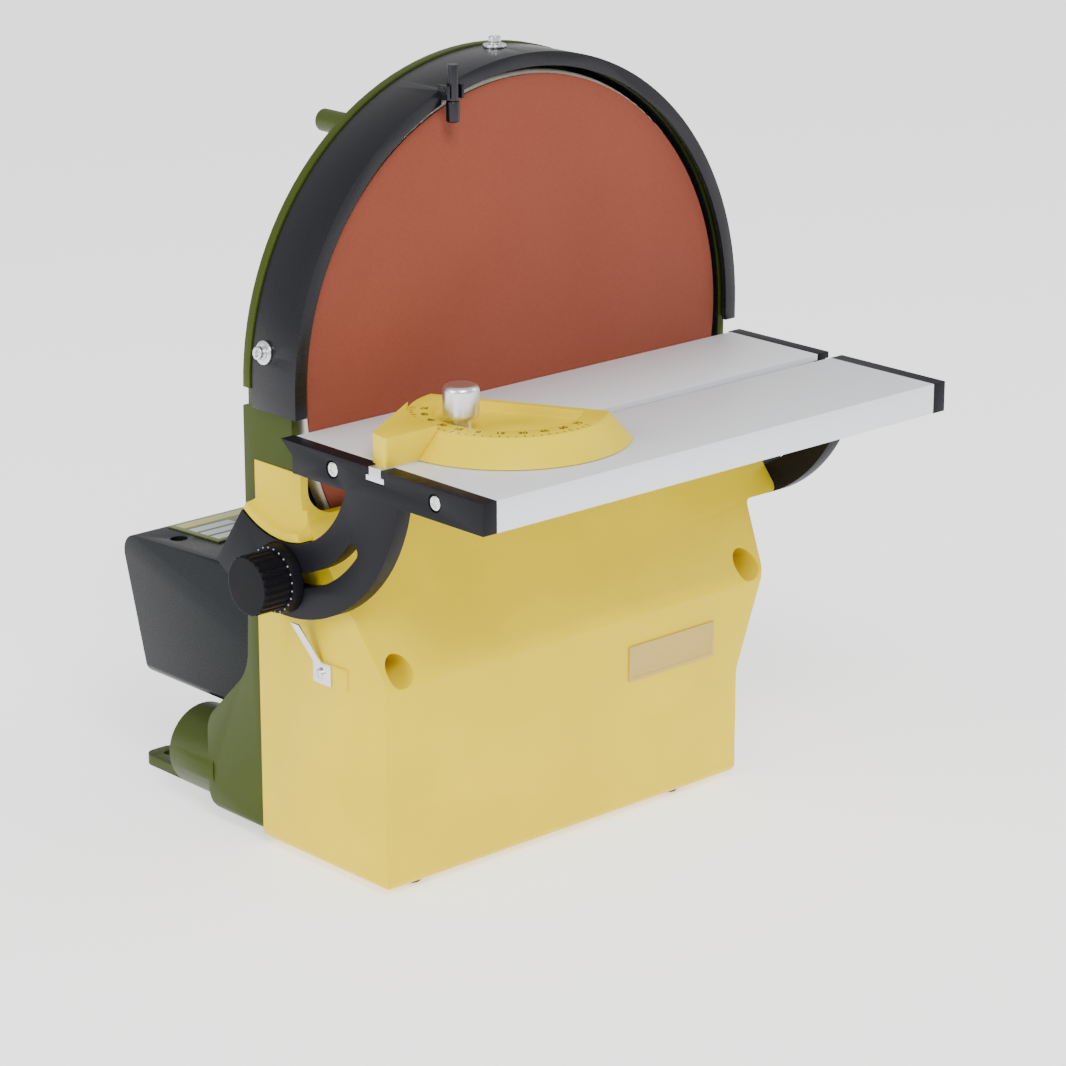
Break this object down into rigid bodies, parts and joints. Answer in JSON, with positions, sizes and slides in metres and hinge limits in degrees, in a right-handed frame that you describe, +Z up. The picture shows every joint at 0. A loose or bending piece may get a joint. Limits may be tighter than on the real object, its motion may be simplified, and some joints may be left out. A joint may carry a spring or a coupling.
{
  "type": "benchtop disc sander",
  "caption": "Benchtop disc sander: upright abrasive disc in a guarded housing, tilting aluminium table with a mitre gauge, belt drive from a motor behind.",
  "frame": {"origin": "on the floor, under the middle of the machine's footprint: in the disc's centre plane along X, and 7 mm behind the abrasive face along Y", "axes": "+X along the table towards the switch side, +Y from the operator to the back, +Z up"},
  "size_m": [0.3218, 0.28, 0.3558],
  "materials": {
    "housing_front": "satin moulded yellow",
    "housing_rear": "satin moulded green",
    "black_plastic": "satin moulded black",
    "table_aluminium": "fine ground, anodised",
    "disc_aluminium": "turned",
    "abrasive": "red-brown grit",
    "zinc_steel": "bright plated",
    "turned_steel": "turned",
    "dark_steel": "black, satin",
    "belt_rubber": "matte",
    "mitre_plastic": "satin moulded yellow",
    "mitre_metal": "drawn",
    "board": "resin board",
    "plates": "bare plate"
  },
  "bodies": {
    "stand": {"front_housing": "housing_front", "rear_housing": "housing_rear", "housing_screws": "zinc_steel", "front_feet": "belt_rubber", "name_plate": "plates", "disc_guard": "black_plastic", "guard_washers": "zinc_steel", "guard_screws": "zinc_steel", "brake_pin": "zinc_steel", "front_bearing": "turned_steel", "rear_bearing": "turned_steel", "bearing_cap": "housing_rear", "drive_belt": "belt_rubber", "motor_body": "turned_steel", "motor_screws": "zinc_steel", "motor_saddle": "black_plastic", "motor_cover": "black_plastic", "cover_screws": "zinc_steel", "rating_label": "plates", "clamp_studs": "zinc_steel", "angle_pointer": "zinc_steel", "pointer_screw": "zinc_steel", "switch_bezel": "black_plastic", "speed_control": "black_plastic", "control_board": "board", "cable_gland": "black_plastic"},
    "disc": {"disc_plate": "disc_aluminium", "abrasive_sheet": "abrasive", "disc_screws": "zinc_steel", "spindle": "turned_steel", "spindle_pulley": "disc_aluminium"},
    "rotor": {"motor_shaft": "turned_steel", "motor_pulley": "disc_aluminium"},
    "table": {"table_plate": "table_aluminium", "left_table_bracket": "black_plastic", "right_table_bracket": "black_plastic", "table_screws": "zinc_steel"},
    "left_knob": {"left_clamp_knob": "black_plastic"},
    "right_knob": {"right_clamp_knob": "black_plastic"},
    "brake": {"brake_lever": "dark_steel"},
    "rocker": {"switch_rocker": "black_plastic"},
    "dial": {"speed_dial": "black_plastic"},
    "mitre_slider": {"mitre_bar": "mitre_metal", "mitre_stud": "zinc_steel", "mitre_pin": "zinc_steel", "mitre_nose": "mitre_plastic"},
    "mitre_swivel": {"mitre_head": "mitre_plastic"},
    "mitre_knob": {"mitre_thumb_knob": "zinc_steel"}
  },
  "joints": [
    {"name": "disc_spin", "type": "hinge", "parent": "stand", "child": "disc", "pos_m": [0, -0.007, 0.2156], "axis": [0, 1, 0], "continuous": true},
    {"name": "motor_spin", "type": "hinge", "parent": "stand", "child": "rotor", "pos_m": [-0.03, 0.024, 0.086], "axis": [0, 1, 0], "continuous": true},
    {"name": "table_tilt", "type": "hinge", "parent": "stand", "child": "table", "pos_m": [0, -0.007, 0.2], "axis": [1, 0, 0], "range_deg": [-10, 50]},
    {"name": "left_clamp_turn", "type": "hinge", "parent": "stand", "child": "left_knob", "pos_m": [-0.15, -0.007, 0.1365], "axis": [-1, 0, 0], "range_deg": [0, 360]},
    {"name": "right_clamp_turn", "type": "hinge", "parent": "stand", "child": "right_knob", "pos_m": [0.15, -0.007, 0.1365], "axis": [1, 0, 0], "range_deg": [0, 360]},
    {"name": "brake_press", "type": "hinge", "parent": "stand", "child": "brake", "pos_m": [-0.047, -0.015, 0.341], "axis": [1, 0, 0], "range_deg": [0, 18], "stiffness_Nm_per_rad": 0.02, "springref_deg": -11.46},
    {"name": "switch_press", "type": "hinge", "parent": "stand", "child": "rocker", "pos_m": [0.079, -0.043, 0.029], "axis": [0, -1, 0], "range_deg": [0, 14]},
    {"name": "speed_turn", "type": "hinge", "parent": "stand", "child": "dial", "pos_m": [0.085, -0.003, 0.029], "axis": [1, 0, 0], "range_deg": [0, 270]},
    {"name": "mitre_slide", "type": "slide", "parent": "table", "child": "mitre_slider", "axis": [1, 0, 0], "range_m": [-0.06, 0.15]},
    {"name": "mitre_turn", "type": "hinge", "parent": "mitre_slider", "child": "mitre_swivel", "pos_m": [-0.0661, -0.0717, 0.205], "axis": [0, 0, 1], "range_deg": [-87.8, 32.2]},
    {"name": "mitre_knob_turn", "type": "hinge", "parent": "mitre_slider", "child": "mitre_knob", "pos_m": [-0.0931, -0.0717, 0.215], "axis": [0, 0, 1], "range_deg": [0, 360]}
  ],
  "couplings": [
    {"joint": "motor_spin", "follows": "disc_spin", "ratio": 6}
  ]
}
